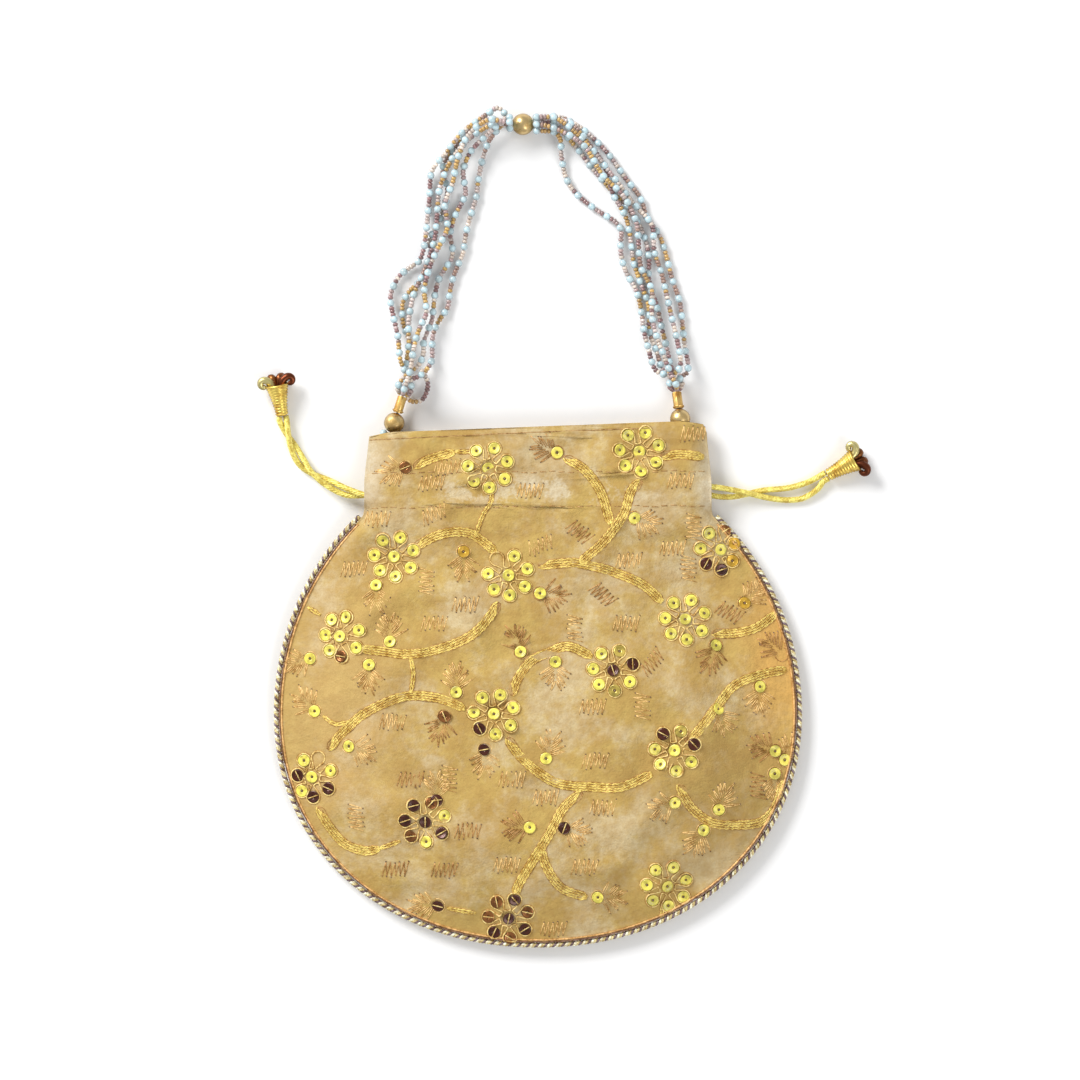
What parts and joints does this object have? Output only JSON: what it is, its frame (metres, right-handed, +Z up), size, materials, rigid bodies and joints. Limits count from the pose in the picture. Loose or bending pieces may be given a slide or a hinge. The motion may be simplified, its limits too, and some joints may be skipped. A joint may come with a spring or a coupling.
{
  "type": "potli bag",
  "caption": "Small drawstring pouch of embroidered velvet with a round body, a cased neck, two drawcords ending in wire-wound tassels, a rope-edged seam and a beaded handle.",
  "frame": {"origin": "bottom centre of the bag's bounding box without the drawcords and their tassels, on the surface that it lies on", "axes": "+Z up out of the embroidered front, +Y towards the handle, +X across the bag"},
  "size_m": [0.2397, 0.3258, 0.0197],
  "materials": {
    "velvet": "matte",
    "trim_lace": "satin",
    "metallic_cord": "satin",
    "wound_wire": "polished",
    "petal": "satin",
    "bead_string": "gloss",
    "gold_metal": "satin",
    "pearl": "gloss",
    "thread": "matte"
  },
  "bodies": {
    "bag": {"front_panel": "velvet", "back_panel": "velvet", "edge_trim": "trim_lace", "drawcord_left": "metallic_cord", "tassel_cone_left": "wound_wire", "petal_left_1": "petal", "petal_left_2": "petal", "petal_left_3": "petal", "petal_left_4": "petal", "anchor_pearl_left": "pearl", "drawcord_right": "metallic_cord", "tassel_cone_right": "wound_wire", "petal_right_1": "petal", "petal_right_2": "petal", "petal_right_3": "petal", "petal_right_4": "petal", "anchor_pearl_right": "pearl"},
    "handle": {"top_ball": "gold_metal", "end_ball_left": "gold_metal", "end_ball_right": "gold_metal", "end_tube_left": "gold_metal", "end_tube_right": "gold_metal", "anchor_thread_left": "thread", "anchor_thread_right": "thread", "strand_left_1": "bead_string", "strand_left_2": "bead_string", "strand_left_3": "bead_string", "strand_left_4": "bead_string", "strand_left_5": "bead_string", "strand_left_6": "bead_string", "strand_right_1": "bead_string", "strand_right_2": "bead_string", "strand_right_3": "bead_string", "strand_right_4": "bead_string", "strand_right_5": "bead_string", "strand_right_6": "bead_string"}
  },
  "joints": [
    {"name": "handle_swing", "type": "hinge", "parent": "bag", "child": "handle", "pos_m": [0, 0.0384, 0.0124], "axis": [0.9993, 0.037, 0], "range_deg": [0, 165]}
  ]
}
